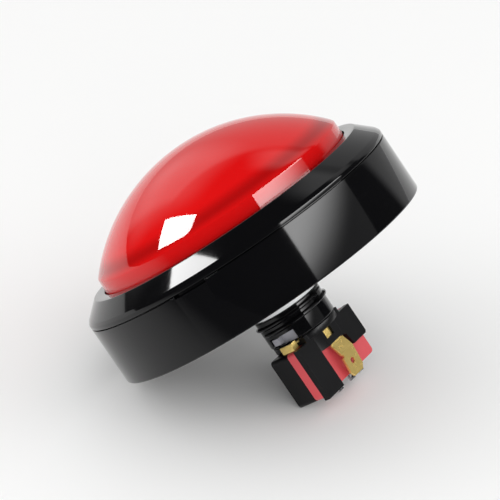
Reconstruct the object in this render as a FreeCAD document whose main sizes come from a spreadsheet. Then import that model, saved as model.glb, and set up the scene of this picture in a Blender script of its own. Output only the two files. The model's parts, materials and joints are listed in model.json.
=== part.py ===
"""Large dome push button of the kind used as a quiz buzzer.

+Z points out of the dome.  The origin is the centre of the seat, the flat face that rests on a panel;
the threaded stem, the lamp holder and the snap switch hang below it.  Millimetres and degrees.
"""
import FreeCAD, Part
import math
import os
import re
import Sketcher

Vector = FreeCAD.Vector

# Driving sizes: alias, value.  Heights are measured from the seat, depths are counted downwards from it.
SIZES = [
    ("skirt_radius", 50.0), ("skirt_wall", 2.4), ("seam_height", 18.0), ("seam_gap", 0.3),
    ("edge_break", 0.4), ("floor_height", 3.0), ("floor_thick", 2.5), ("hub_radius", 15.0),
    ("rib_thick", 1.6), ("rib_inset", 0.8), ("spigot_wall", 1.2), ("spigot_rise", 1.5),
    ("stop_inset", 4.87), ("stop_wall", 2.0),
    ("stem_radius", 10.8), ("stem_bore", 8.9), ("stem_depth", 16.1),
    ("thread_rise", 0.8), ("thread_pitch", 2.15), ("thread_depth", 7.3), ("thread_length", 5.35),
    ("neck_relief", 0.85), ("seal_wall", 0.5), ("seal_depth", 7.1), ("seal_width", 2.6),
    ("guide_length", 7.0), ("moving_gap", 0.3), ("fit_gap", 0.15),
    ("bezel_rise", 6.66), ("bezel_gap", 0.23), ("bezel_flat", 3.4), ("bezel_wall", 2.2),
    ("lip_rise", 1.3), ("lip_width", 0.8), ("lip_crown", 1.1), ("hook_wall", 1.5), ("hook_root", 2.6),
    ("hook_drop", 6.0), ("hook_barb", 0.8), ("hook_arc", 10.0),
    ("pry_width", 10.5), ("pry_height", 0.8), ("pry_depth", 1.6), ("pry_azimuth", 247.0),
    ("dome_radius", 53.57), ("dome_center", -6.19), ("dome_wall", 2.4), ("band_radius", 40.87),
    ("band_taper", 0.031), ("flange_width", 2.2), ("flange_thick", 2.0), ("press_travel", 2.2),
    ("carrier_thick", 1.9), ("carrier_height", 15.5), ("tube_inner", 5.9), ("tube_wall", 1.2),
    ("tube_depth", 4.0), ("leg_arc", 40.0), ("leg_depth", 15.3),
    ("spring_wire", 1.2), ("spring_radius", 9.7), ("spring_turns", 4.5), ("spring_gap", 0.1),
    ("diffuser_thick", 1.2), ("diffuser_rim", 2.0), ("diffuser_hole", 6.5),
    ("holder_turn", 45.0), ("twist_angle", 30.0),
    ("socket_depth", 7.2), ("lug_arc", 16.0), ("lug_shift", -9.0), ("lug_height", 2.0), ("lug_depth", 15.3),
    ("lug_inset", 0.2), ("slot_gap", 0.4), ("slot_margin", 3.0),
    ("plate_inset", 0.4), ("plate_depth", 18.2),
    ("lamp_radius", 5.0), ("lamp_wall", 0.7), ("lamp_top", 11.0), ("lamp_neck_depth", 6.0),
    ("wedge_width", 9.4), ("wedge_thick", 2.4), ("wedge_depth", 13.0), ("strip_thick", 0.4),
    ("strip_gap", 0.05), ("run_depth", 0.4), ("clip_left", -4.4), ("clip_width", 3.5), ("clip_reach", 2.3),
    ("clip_out", 5.0), ("run_width", 1.4), ("clip_rise", 2.4), ("clip_side", 2.4), ("clip_flag", 4.8),
    ("tab_spring", 0.9), ("tab_spring_width", 3.2), ("tab_lean", 0.9), ("tab_corner", 1.2),
    ("switch_length", 27.8), ("switch_height", 15.9), ("switch_thick", 10.3), ("switch_wall", 1.15),
    ("cover_thick", 7.1), ("switch_round", 1.2), ("pin_spacing_x", 22.2), ("pin_spacing_z", 10.3),
    ("pin_inset", 2.8), ("pin_radius", 1.45), ("pin_length", 0.9),
    ("arm_thick", 1.95), ("arm_width", 7.9), ("arm_drop", 34.8), ("wing_drop", 28.1),
    ("wing_width", 7.7), ("block_left", -2.9), ("block_width", 7.35), ("block_thick", 2.8),
    ("block_drop", 23.4), ("window_inset", 0.85), ("window_width", 3.8), ("window_height", 2.5),
    ("window_drop", 21.4),
    ("tab_width", 6.3), ("tab_thick", 0.8), ("tab_length", 7.3), ("tab_hole", 0.9),
    ("tab_top", 27.8), ("tab_out", 8.3), ("tab_left", -1.3), ("strip_out", 6.4), ("blade_strip", 0.5),
    ("actuator_x", -6.5), ("actuator_radius", 1.0), ("actuator_gap", 0.2), ("pivot_x", 9.0),
    ("contact_x", -10.0), ("contact_radius", 0.9), ("contact_thick", 0.4), ("blade_thick", 0.3),
    ("blade_depth", 22.1), ("blade_width", 3.6), ("lug_thick", 0.6), ("solder_width", 2.4),
    ("solder_length", 3.1), ("common_x", 10.0), ("open_x", 5.4), ("closed_x", -1.2),
]
# Sizes that follow a driving size at a named clearance.
FOLLOWERS = {
    "bezel_hole": "band_radius + bezel_gap", "stop_radius": "band_radius - stop_inset",
    "thread_radius": "stem_radius + thread_rise",
    "neck_radius": "stem_radius - neck_relief", "lug_reach": "stem_radius - lug_inset",
    "plate_radius": "stem_radius - plate_inset",
}
RIB_COUNT = 8
HOOK_COUNT = 4

doc = FreeCAD.newDocument("dome_button")
sheet = doc.addObject("Spreadsheet::Sheet", "Sizes")
for row, (alias, number) in enumerate(SIZES, start=1):
    sheet.set(f"A{row}", alias)
    sheet.set(f"B{row}", str(number))
    sheet.setAlias(f"B{row}", alias)
doc.recompute()

SUBPARTS = []


def sized(text):
    """Turn a formula in alias names into one that reads the sheet; every alias has an underscore."""
    def read(match):
        word = match.group(1)
        return f"({sized(FOLLOWERS[word])})" if word in FOLLOWERS else f"Sizes.{word}"

    return re.sub(r"\b([a-z]+(?:_[a-z]+)+)\b", read, str(text))


def value(text):
    return float(sheet.evalExpression(sized(text)))


def bind(item, **formulas):
    """Bind properties to formulas; 'x', 'y', 'z' stand for the placement's base."""
    for key, formula in formulas.items():
        target = f"Placement.Base.{key}" if key in ("x", "y", "z") else key
        item.setExpression(target, sized(formula))
    return item


def cylinder(name, radius, height, z, x=0, y=0, arc=None, middle=0):
    """A cylinder, or a sector of one that spans 'arc' degrees about the azimuth 'middle'."""
    item = doc.addObject("Part::Cylinder", name)
    bind(item, Radius=radius, Height=height, x=x, y=y, z=z)
    if arc is not None:
        bind(item, Angle=arc)
        item.Placement.Rotation = FreeCAD.Rotation(Vector(0, 0, 1), 1)
        item.setExpression("Placement.Rotation.Angle", sized(f"({middle}) - ({arc}) / 2"))
    return item


def cross_pin(name, radius, length, x, y, z):
    """A cylinder that lies along -Y from the point given."""
    item = doc.addObject("Part::Cylinder", name)
    item.Placement.Rotation = FreeCAD.Rotation(Vector(1, 0, 0), 90)
    return bind(item, Radius=radius, Height=length, x=x, y=y, z=z)


def box(name, x, y, z):
    """A box from three (low, high) pairs of formulas."""
    item = doc.addObject("Part::Box", name)
    sides = [f"({high}) - ({low})" for low, high in (x, y, z)]
    return bind(item, Length=sides[0], Width=sides[1], Height=sides[2], x=x[0], y=y[0], z=z[0])


def sphere(name, radius, z):
    return bind(doc.addObject("Part::Sphere", name), Radius=radius, z=z)


def fuse(name, *shapes, refine=True):
    item = doc.addObject("Part::MultiFuse", name)
    item.Shapes = list(shapes)
    item.Refine = refine
    return item


def cut(name, base, *tools):
    item = doc.addObject("Part::Cut", name)
    item.Base = base
    item.Tool = tools[0] if len(tools) == 1 else fuse(name + "_tools", *tools)
    return item


def common(name, *shapes):
    item = doc.addObject("Part::MultiCommon", name)
    item.Shapes = list(shapes)
    return item


def ring_sector(name, inner, outer, height, z, arc, middle):
    whole = cylinder(name + "_outer", outer, height, z, arc=arc, middle=middle)
    hollow = cylinder(name + "_inner", inner, f"({height}) + 2", f"({z}) - 1")
    return cut(name, whole, hollow)


def subpart(item, name, turned=False):
    """Name a finished piece; the holder's pieces are drawn square and then turned as one."""
    item.Label = name
    if turned:
        item.Placement.Rotation = FreeCAD.Rotation(Vector(0, 0, 1), value("holder_turn"))
    SUBPARTS.append(item)
    return item


def outline(body, name, role, corners, offset=None):
    """A closed sketch of straight edges whose corners are pairs of formulas."""
    sketch = body.newObject("Sketcher::SketchObject", name)
    plane = [item for item in body.Origin.OriginFeatures if item.Role == role][0]
    sketch.AttachmentSupport = (plane, [""])
    sketch.MapMode = "FlatFace"
    if offset is not None:
        sketch.setExpression("AttachmentOffset.Base.z", sized(offset))
    points = [Vector(value(across), value(up), 0) for across, up in corners]
    count = len(points)
    for index, point in enumerate(points):
        sketch.addGeometry(Part.LineSegment(point, points[(index + 1) % count]), False)
    for index in range(count):
        sketch.addConstraint(Sketcher.Constraint("Coincident", index, 2, (index + 1) % count, 1))
    for index, (across, up) in enumerate(corners):
        for kind, formula, number in (("DistanceX", across, points[index].x),
                                      ("DistanceY", up, points[index].y)):
            if formula == 0:
                axis = -2 if kind == "DistanceX" else -1
                sketch.addConstraint(Sketcher.Constraint("PointOnObject", index, 1, axis))
                continue
            place = sketch.addConstraint(Sketcher.Constraint(kind, -1, 1, index, 1, number))
            sketch.setExpression(f"Constraints[{place}]", sized(formula))
    return sketch


def new_body(name):
    return doc.addObject("PartDesign::Body", name)


def revolve(body, name, corners):
    """Turn a section, given as (radius, height) corners, about the Z axis."""
    feature = body.newObject("PartDesign::Revolution", name)
    feature.Profile = outline(body, name + "_section", "XZ_Plane", corners)
    feature.ReferenceAxis = (feature.Profile[0], ["V_Axis"])
    feature.Angle = 360
    return feature


def pad(body, name, role, corners, length, offset=None):
    """Extrude an outline along its plane's normal: -Y from the XZ plane, +X from the YZ plane."""
    feature = body.newObject("PartDesign::Pad", name)
    feature.Profile = outline(body, name + "_outline", role, corners, offset)
    feature.setExpression("Length", sized(length))
    return feature


def round_edges(body, name, base, chosen, radius):
    """Fillet the edges of a feature that 'chosen' picks."""
    doc.recompute()
    edges = [f"Edge{index}" for index, edge in enumerate(base.Shape.Edges, start=1) if chosen(edge)]
    feature = body.newObject("PartDesign::Fillet", name)
    feature.Base = (base, edges)
    feature.setExpression("Radius", sized(radius))
    return feature


def along_y(edge):
    first, last = edge.Vertexes[0].Point, edge.Vertexes[-1].Point
    return abs(first.x - last.x) < 1e-6 and abs(first.z - last.z) < 1e-6 and abs(first.y - last.y) > 1e-6


# Heights worked out from the driving sizes, each written once.
FLOOR_TOP = "floor_height + floor_thick"
SEAM_TOP = "seam_height + seam_gap"
BEZEL_TOP = "seam_height + bezel_rise"
BEZEL_UNDER = "seam_height + bezel_rise - bezel_wall"
FLANGE_TOP = "seam_height + bezel_rise - bezel_wall - moving_gap"
CARRIER_TOP = "carrier_height + carrier_thick"
THREAD_END = "-(thread_depth + thread_length)"
PLATE_TOP = "-(stem_depth + moving_gap)"
SWITCH_BOTTOM = "-(plate_depth + switch_height)"
PARTING = "-switch_thick / 2 + switch_thick - cover_thick"
TUBE_OUTER = "tube_inner + tube_wall"
SPIGOT_RADIUS = "skirt_radius - spigot_wall"


def screw_thread():
    """One helical ridge round the stem."""
    root = value("stem_radius")
    crest = value("thread_radius")
    pitch = value("thread_pitch")
    length = value("thread_length") - pitch
    start = -value("thread_depth") - length - pitch / 2
    sink = 0.3
    half_foot = 0.44 * pitch
    half_crest = 0.08 * pitch
    helix = Part.makeHelix(pitch, length, root)
    helix.translate(Vector(0, 0, start))
    section = Part.makePolygon([
        Vector(root - sink, 0, start - half_foot), Vector(root - sink, 0, start + half_foot),
        Vector(crest, 0, start + half_crest), Vector(crest, 0, start - half_crest),
        Vector(root - sink, 0, start - half_foot)])
    ridge = doc.addObject("Part::Feature", "thread_ridge")
    ridge.Shape = Part.Wire(helix).makePipeShell([section], True, True)
    ridge.Placement.Rotation = FreeCAD.Rotation(Vector(0, 0, 1), 180)
    return ridge


def base_shell():
    """Skirt, floor, hub and threaded stem, one moulding with ribs under the floor."""
    body = new_body("base_turned")
    inner = "skirt_radius - skirt_wall"
    revolve(body, "base_section", [
        ("stem_bore", "-stem_depth"), ("stem_radius", "-stem_depth"),
        ("stem_radius", "-thread_depth"), ("neck_radius", "-thread_depth"),
        ("neck_radius", 0), ("hub_radius", 0), ("hub_radius", "floor_height"),
        (inner, "floor_height"), (inner, 0), ("skirt_radius - edge_break", 0),
        ("skirt_radius", "edge_break"), ("skirt_radius", "seam_height - edge_break / 2"),
        ("skirt_radius - edge_break / 2", "seam_height"), (SPIGOT_RADIUS, "seam_height"),
        (SPIGOT_RADIUS, "seam_height + spigot_rise"), (inner, "seam_height + spigot_rise"),
        (inner, FLOOR_TOP), ("stop_radius", FLOOR_TOP),
        ("stop_radius", "carrier_height - press_travel - moving_gap"),
        ("stop_radius - stop_wall", "carrier_height - press_travel - moving_gap"),
        ("stop_radius - stop_wall", FLOOR_TOP), (TUBE_OUTER + " + moving_gap", FLOOR_TOP),
        (TUBE_OUTER + " + moving_gap", FLOOR_TOP + " - guide_length"),
        ("stem_bore", FLOOR_TOP + " - guide_length")])
    sink = "edge_break"
    rib = body.newObject("PartDesign::Pad", "rib")
    rib.Profile = outline(body, "rib_outline", "XZ_Plane", [
        (f"hub_radius - {sink}", "rib_inset"), (f"{inner} + {sink}", "rib_inset"),
        (f"{inner} + {sink}", f"floor_height + {sink}"), (f"hub_radius - {sink}", f"floor_height + {sink}")])
    rib.Midplane = True
    rib.setExpression("Length", sized("rib_thick"))
    doc.recompute()
    pattern = body.newObject("PartDesign::PolarPattern", "ribs")
    pattern.Originals = [rib]
    pattern.Axis = (rib.Profile[0], ["V_Axis"])
    pattern.Angle = 360
    pattern.Occurrences = RIB_COUNT
    body.Tip = pattern

    slot_height = "lug_height + 2 * slot_gap"
    entry_arc = "lug_arc + 2 * slot_margin"
    slot_arc = "lug_arc + twist_angle + 2 * slot_margin"
    tools = []
    for number, side in enumerate((0, 180)):
        middle = f"holder_turn + lug_shift + {side} + twist_angle / 2"
        tools.append(ring_sector(f"bayonet_slot_{number}", "stem_bore - 1", "thread_radius + 1", slot_height,
                                 "-(lug_depth + slot_gap)", slot_arc, middle))
        entry_middle = f"holder_turn + lug_shift + {side} + twist_angle"
        tools.append(ring_sector(f"bayonet_entry_{number}", "stem_bore - 1", "thread_radius + 1", "lug_height",
                                 "-(stem_depth + 1)", entry_arc, entry_middle))
    window = "hook_barb + 2 * fit_gap"
    for number in range(HOOK_COUNT):
        azimuth = 360 / HOOK_COUNT * number
        tools.append(ring_sector(f"hook_window_{number}", f"{inner} - 1", f"{inner} + {window}",
                                 "hook_wall + 4 * fit_gap", f"{SEAM_TOP} - hook_drop - 2 * fit_gap",
                                 "hook_arc + 2", azimuth))
    pry_arc = value("pry_width / skirt_radius") * 180 / math.pi
    tools.append(ring_sector("pry_slot", "skirt_radius - pry_depth", "skirt_radius + 1", "pry_height + 1",
                             "seam_height - pry_height", pry_arc, "pry_azimuth"))
    threaded = fuse("base_threaded", body, screw_thread(), refine=False)
    return subpart(cut("base_cut", threaded, *tools), "base_shell")


def neck_seal():
    """White sealing ring in the relief between the seat and the thread."""
    body = new_body("neck_seal_body")
    outer = "neck_radius + seal_wall"
    revolve(body, "seal", [
        ("neck_radius", "-seal_depth"), (f"{outer} - fit_gap", "-seal_depth"),
        (outer, "-seal_depth + fit_gap"), (outer, "-seal_depth + seal_width - fit_gap"),
        (f"{outer} - fit_gap", "-seal_depth + seal_width"), ("neck_radius", "-seal_depth + seal_width")])
    return subpart(body, "neck_seal")


def bezel_ring():
    """Gloss trim ring: a flat, a cone and a lip, held to the base by hooks."""
    body = new_body("bezel_turned")
    sleeve = SPIGOT_RADIUS + " + fit_gap"
    shoulder = "seam_height + spigot_rise + fit_gap"
    lip_top = "seam_height + lip_rise"
    flat_edge = "bezel_hole + bezel_flat"
    revolve(body, "bezel_section", [
        (sleeve, SEAM_TOP), ("skirt_radius - seam_gap", SEAM_TOP),
        ("skirt_radius", SEAM_TOP + " + seam_gap"), ("skirt_radius", lip_top),
        ("skirt_radius - 0.3125 * lip_width", lip_top + " + lip_crown * 13 / 22"),
        ("skirt_radius - lip_width", lip_top + " + lip_crown"),
        (f"{flat_edge} + edge_break", BEZEL_TOP + " - edge_break / 4"),
        (f"{flat_edge} - edge_break / 2", BEZEL_TOP), ("bezel_hole + edge_break / 2", BEZEL_TOP),
        ("bezel_hole", BEZEL_TOP + " - edge_break / 2"), ("bezel_hole", BEZEL_UNDER),
        (f"{flat_edge} - 0.75 * edge_break", BEZEL_UNDER),
        ("skirt_radius - skirt_wall - 1.75 * edge_break", shoulder), (sleeve, shoulder)])
    pieces = [body]
    hook_outer = "skirt_radius - skirt_wall - fit_gap"
    hook_low = SEAM_TOP + " - hook_drop"
    for number in range(HOOK_COUNT):
        azimuth = 360 / HOOK_COUNT * number
        pieces.append(ring_sector(f"hook_tongue_{number}", f"{hook_outer} - hook_wall", hook_outer,
                                  "hook_drop + hook_root", hook_low, "hook_arc", azimuth))
        pieces.append(ring_sector(f"hook_barb_{number}", f"{hook_outer} - 0.5",
                                  f"{hook_outer} + hook_barb", "hook_wall", hook_low, "hook_arc", azimuth))
    return subpart(fuse("bezel_whole", *pieces), "bezel_ring")


def dome_lens():
    """Hollow red lens: a spherical cap, a drafted band and a flange that the bezel holds down."""
    band_foot = CARRIER_TOP
    band_rise = "dome_center + dome_radius - carrier_height"
    outer_ball = sphere("dome_outer_ball", "dome_radius", "dome_center")
    band = doc.addObject("Part::Cone", "dome_band")
    bind(band, Radius1="band_radius", Radius2=f"band_radius - band_taper * ({band_rise})",
         Height=band_rise, z=band_foot)
    flange = cylinder("dome_flange", "band_radius + flange_width", "flange_thick",
                      f"{FLANGE_TOP} - flange_thick")
    outer = fuse("dome_outer", common("dome_cap", outer_ball, band), flange)
    inner_ball = sphere("dome_inner_ball", "dome_radius - dome_wall", "dome_center")
    hollow = cylinder("dome_bore", "band_radius - dome_wall", band_rise, f"{band_foot} - 1")
    return subpart(cut("dome_whole", outer, common("dome_hollow", inner_ball, hollow)), "dome_lens")


def diffuser():
    """White disc under the dome that spreads the lamp's light."""
    body = new_body("diffuser_body")
    edge = "band_radius - dome_wall - fit_gap"
    revolve(body, "diffuser_section", [
        ("diffuser_hole", CARRIER_TOP), (edge, CARRIER_TOP), (edge, CARRIER_TOP + " + diffuser_rim"),
        (f"{edge} - 0.8", CARRIER_TOP + " + diffuser_rim"),
        (f"{edge} - 1.6", CARRIER_TOP + " + diffuser_thick"),
        ("diffuser_hole", CARRIER_TOP + " + diffuser_thick")])
    return subpart(body, "diffuser")


def plunger_carrier():
    """White carrier: a disc under the dome, a guide tube and the leg that works the switch."""
    body = new_body("carrier_turned")
    revolve(body, "carrier_section", [
        ("tube_inner", "-tube_depth"), (TUBE_OUTER, "-tube_depth"), (TUBE_OUTER, "carrier_height"),
        ("band_radius", "carrier_height"), ("band_radius", CARRIER_TOP), ("tube_inner", CARRIER_TOP)])
    leg = ring_sector("carrier_leg", "tube_inner", TUBE_OUTER, "leg_depth - tube_depth + 1", "-leg_depth",
                      "leg_arc", 180)
    return subpart(fuse("carrier_whole", body, leg), "plunger_carrier", turned=True)


def spring_path(radius, rise, turns, foot):
    """Smooth wire of arcs that follows a helix, two arcs to each quarter turn."""
    def point(share):
        angle = 2 * math.pi * turns * share
        return Vector(radius * math.cos(angle), radius * math.sin(angle), foot + rise * share)

    def heading(share):
        angle = 2 * math.pi * turns * share
        run = 2 * math.pi * turns * radius
        return Vector(-run * math.sin(angle), run * math.cos(angle), rise).normalize()

    def arc(start, direction, end):
        chord = end - start
        side = direction.cross(chord).cross(direction).normalize()
        center = start + side * (chord.dot(chord) / (2 * chord.dot(side)))
        halfway = ((start + end) / 2 - center).normalize()
        return Part.Arc(start, center + halfway * (start - center).Length, end).toShape()

    edges = []
    count = math.ceil(4 * turns)
    for number in range(count):
        low, high = number / count, (number + 1) / count
        start, end, leaving, arriving = point(low), point(high), heading(low), heading(high)
        chord, bend = end - start, leaving.dot(arriving) - 1
        spread = chord.dot(leaving + arriving)
        reach = (spread - math.sqrt(spread ** 2 - 2 * bend * chord.dot(chord))) / (2 * bend)
        middle = (start + leaving * reach + end - arriving * reach) / 2
        edges += [arc(start, leaving, middle), arc(middle, (end - arriving * reach - middle).normalize(), end)]
    return Part.Wire(edges), point(0), heading(0)


def return_spring():
    """Coil spring between the floor and the carrier."""
    wire, gap = value("spring_wire"), value("spring_gap")
    foot = value(FLOOR_TOP) + gap + wire / 2
    rise = value("carrier_height") - value(FLOOR_TOP) - 2 * gap - wire
    path, start, direction = spring_path(value("spring_radius"), rise, value("spring_turns"), foot)
    section = Part.Wire(Part.makeCircle(wire / 2, start, direction))
    coil = doc.addObject("Part::Feature", "spring_coil")
    coil.Shape = path.makePipeShell([section], True, False)
    return subpart(coil, "return_spring")


def leg_slot(name, low, height, extra):
    """Room for the leg or the actuator, swept by the twist of the holder."""
    arc = "leg_arc + twist_angle + 2 * slot_margin"
    return ring_sector(name, f"tube_inner - 0.8 - {extra}", f"{TUBE_OUTER} + 0.8 + {extra}", height, low, arc,
                       "180 - twist_angle / 2")


def contact_room(name, low, high):
    """Room for the two lamp contacts beside the wedge."""
    reach = "wedge_thick / 2 + strip_thick + 0.1"
    return box(name, ("-wedge_width / 2 - 0.1", "wedge_width / 2 + 0.1"), (f"-({reach})", reach), (low, high))


def lamp_socket():
    """Pale bayonet insert that carries the wedge lamp, with two lugs through the stem's slots."""
    height = "stem_depth - socket_depth"
    core = cylinder("socket_core", "stem_bore - moving_gap", height, "-stem_depth")
    lugs = [ring_sector(f"socket_lug_{side}", "stem_bore - moving_gap - 0.5", "lug_reach", "lug_height",
                        "-lug_depth", "lug_arc", f"lug_shift + {side}") for side in (0, 180)]
    tools = [leg_slot("socket_slot", "-stem_depth - 1", f"{height} + 2", 0),
             contact_room("socket_pocket", "-stem_depth - 1", "-socket_depth + 1")]
    wedge_stop = box("socket_floor", ("-wedge_width / 2 - 0.5", "wedge_width / 2 + 0.5"),
                     ("-wedge_thick / 2 + 0.1", "wedge_thick / 2 - 0.1"), ("-stem_depth", "-wedge_depth - 0.1"))
    hollow = cut("socket_hollow", fuse("socket_solid", core, *lugs), *tools)
    return subpart(fuse("socket_whole", hollow, wedge_stop), "lamp_socket", turned=True)


def lamp_glass():
    """Clear wedge lamp, a hollow capsule on a flat pinch."""
    straight = "lamp_top + lamp_neck_depth - lamp_radius"
    outer = fuse("glass_outer",
                 cylinder("glass_tube", "lamp_radius", straight, "-lamp_neck_depth"),
                 sphere("glass_end", "lamp_radius", "lamp_top - lamp_radius"),
                 box("glass_pinch", ("-wedge_width / 2", "wedge_width / 2"),
                     ("-wedge_thick / 2", "wedge_thick / 2"), ("-wedge_depth", "-lamp_neck_depth + 0.5")))
    inner = fuse("glass_inner",
                 cylinder("glass_bore", "lamp_radius - lamp_wall", f"{straight} - 1.5",
                          "-lamp_neck_depth + 1.5"),
                 sphere("glass_inner_end", "lamp_radius - lamp_wall", "lamp_top - lamp_radius"))
    return subpart(cut("glass_whole", outer, inner), "lamp_glass", turned=True)


def lamp_filament():
    """Two supports and the coiled filament between them."""
    spread, wire, top = 1.8, 0.2, "lamp_top - lamp_radius - 1"
    supports = [cylinder(f"filament_support_{number}", wire, f"{top} + lamp_neck_depth - 1.6",
                         "-lamp_neck_depth + 1.6", x=side * spread) for number, side in enumerate((-1, 1))]
    bar = doc.addObject("Part::Cylinder", "filament_coil")
    bar.Placement.Rotation = FreeCAD.Rotation(Vector(0, 1, 0), 90)
    bind(bar, Radius=1.5 * wire, Height=2 * spread, x=-spread, z=top)
    return subpart(fuse("filament_whole", bar, *supports), "lamp_filament", turned=True)


def lamp_contacts():
    """Two brass strips: one ends in a bent clip, the other in a push-on tab."""
    near = "wedge_thick / 2 + strip_gap"
    far = "wedge_thick / 2 + strip_gap + strip_thick"
    run_top = "-(stem_depth + run_depth)"
    run_low = "-(stem_depth + run_depth) - blade_strip"
    spring_top = "-socket_depth - 1.5 * strip_thick"
    clip_x = "-(plate_radius + clip_reach)"
    clip_right = "clip_left + clip_width"
    flag_z = ("-plate_depth + 2 * strip_gap", "-plate_depth + clip_rise")
    clip = fuse(
        "clip_whole",
        box("clip_spring", ("clip_left", clip_right), (f"-({far})", f"-({near})"), (run_low, spring_top)),
        box("clip_turn", ("clip_left", clip_right), ("-clip_out", f"-({near})"), (run_low, run_top)),
        box("clip_run", (clip_x, clip_right), ("-clip_out", "run_width - clip_out"), (run_low, run_top)),
        box("clip_flag", (clip_x, f"{clip_x} + blade_strip"), ("-clip_out", "clip_flag - clip_out"), flag_z),
        box("clip_side", (clip_x, f"{clip_x} + clip_side"), ("-clip_out", "blade_strip - clip_out"), flag_z))
    subpart(clip, "lamp_clip_contact", turned=True)

    inner_face = "-strip_out"
    outer_face = "-(strip_out + blade_strip)"
    shoulder = "-(block_drop + 0.9)"
    bend = "tab_thick / 2"
    tab_inner = "-(tab_out - tab_thick)"
    spring_x = ("tab_spring", "tab_spring + tab_spring_width")
    strip = fuse(
        "tab_strip",
        box("tab_spring_leaf", spring_x, (near, far), (run_low, spring_top)),
        box("tab_run", spring_x, (outer_face, far), (run_low, run_top)),
        box("tab_drop", ("-tab_spring", spring_x[1]), (outer_face, inner_face), (shoulder, run_top)))
    blade = new_body("tab_blade_body")
    foot = "-(tab_top + tab_length)"
    pad(blade, "tab_blade", "YZ_Plane", [
        (inner_face, f"{shoulder} + {bend}"), (outer_face, f"{shoulder} + {bend}"), (outer_face, shoulder),
        ("-tab_out", f"-tab_top + {bend}"), ("-tab_out + tab_lean", foot), (f"{tab_inner} + tab_lean", foot),
        (tab_inner, f"-tab_top + {bend} / 2"), (inner_face, f"{shoulder} - 0.75 * {bend}")],
        "tab_width", offset="tab_left")
    over = 0.2
    trimmers = []
    for number, (side, inward) in enumerate((("tab_left", 1), ("tab_left + tab_width", -1))):
        trimmer = new_body(f"tab_corner_body_{number}")
        pad(trimmer, f"tab_corner_{number}", "XZ_Plane", [
            (f"{side} - {inward * over}", f"{foot} - {over}"),
            (f"{side} + {inward} * tab_corner", f"{foot} - {over}"),
            (f"{side} - {inward * over}", f"{foot} + 1.4 * tab_corner")],
            "5 * tab_thick", offset="tab_out - 3.75 * tab_thick")
        trimmers.append(trimmer)
    hole = cross_pin("tab_eye", "tab_hole", "5 * tab_thick", "tab_left + tab_width / 2",
                     "-tab_out + 3.75 * tab_thick", "-tab_top - tab_length * 0.45")
    notch = box("tab_notch", ("tab_left - 0.1", "tab_left + 0.7"), ("-tab_out - 1", inner_face),
                ("-tab_top - 1", "-tab_top - 0.1"))
    return subpart(cut("tab_whole", fuse("tab_joined", strip, blade), hole, notch, *trimmers),
                   "lamp_tab_contact", turned=True)


def switch_bracket():
    """Black holder: a disc under the stem, two arms that grip the switch and a contact block."""
    face = "-switch_thick / 2"
    outer = f"{face} - arm_thick - strip_gap"
    end = "switch_length / 2"
    plate_low = "-plate_depth"
    disc = cylinder("bracket_disc", "plate_radius", f"{PLATE_TOP} + plate_depth", plate_low)
    arm = box("bracket_arm", (f"-{end}", f"-{end} + arm_width"), (outer, face), ("-arm_drop", plate_low))
    arm_root = box("bracket_root", (f"-{end} + arm_width - 3", f"-{end} + arm_width"), (outer, face),
                   ("-plate_depth - 1", PLATE_TOP))
    block = box("bracket_block", ("block_left", "block_left + block_width"),
                (f"{face} - block_thick", f"{face}"), ("-block_drop", PLATE_TOP))
    block_root = box("bracket_shelf", ("block_left", f"{end} - 5"), (outer, f"{face} + 2"),
                     (plate_low, PLATE_TOP))
    cheek = new_body("cheek_body")
    arm_edge = f"-{end} + arm_width"
    pad(cheek, "cheek", "XY_Plane", [
        (arm_edge, face), (arm_edge, f"{face} - 0.4"), ("block_left", f"{face} - block_thick"),
        ("block_left + 0.5", f"{face} - block_thick"), ("block_left + 0.5", face)],
        "block_drop - plate_depth", offset="-block_drop")
    wing = new_body("wing_body")
    wing_left = f"{end} - wing_width"
    pad(wing, "wing", "XZ_Plane", [
        ("block_left + block_width - 1", plate_low), (end, plate_low), (end, "-wing_drop + 0.6"),
        (f"{end} - 0.6", "-wing_drop"), (f"{wing_left} + 0.9", "-wing_drop"),
        (wing_left, "-block_drop - 0.8"), ("block_left + block_width - 1", "-block_drop")],
        "arm_thick + strip_gap", offset="switch_thick / 2")
    pin_low = "-(plate_depth + switch_height) + pin_inset"
    pins = [cross_pin("bracket_pin_low", "pin_radius - 0.05", "pin_length + 0.5", "-pin_spacing_x / 2",
                      f"{face} + pin_length", pin_low),
            cross_pin("bracket_pin_high", "pin_radius - 0.05", "pin_length + 0.5", "pin_spacing_x / 2",
                      f"{face} + pin_length", f"{pin_low} + pin_spacing_z")]
    window = box("bracket_window", ("block_left + window_inset", "block_left + window_inset + window_width"),
                 (f"{face} - block_thick - 1", "-strip_out"), ("-window_drop", "-window_drop + window_height"))
    strip_right = "tab_spring + tab_spring_width + 2 * strip_gap"
    strip_slot = box("bracket_strip_slot", ("-tab_spring - 2 * strip_gap", strip_right),
                     ("-(strip_out + blade_strip) - strip_gap", "-strip_out + strip_gap"),
                     ("-block_drop - 1", f"{PLATE_TOP} + 1"))
    clip_right = "clip_left + clip_width + 2 * strip_gap"
    clip_front = "-clip_out - 2 * strip_gap"
    run_z = (f"{PLATE_TOP} - blade_strip - 3 * strip_gap", f"{PLATE_TOP} + 1")
    run_slots = [box("bracket_run_tab", ("tab_spring - 2 * strip_gap", strip_right),
                     ("-strip_out - blade_strip - strip_gap", "2"), run_z),
                 box("bracket_run_clip", ("-(plate_radius + clip_reach) - 1", clip_right),
                     (clip_front, "run_width - clip_out + 2 * strip_gap"), run_z),
                 box("bracket_turn_clip", ("clip_left - 2 * strip_gap", clip_right),
                     (clip_front, "-1"), run_z)]
    slot = leg_slot("bracket_slot", "-plate_depth - 1", "4", 0.1)
    solid = fuse("bracket_solid", disc, arm, arm_root, block, block_root, cheek, wing, *pins)
    return subpart(cut("bracket_whole", solid, window, strip_slot, slot, *run_slots),
                   "switch_bracket", turned=True)


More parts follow.
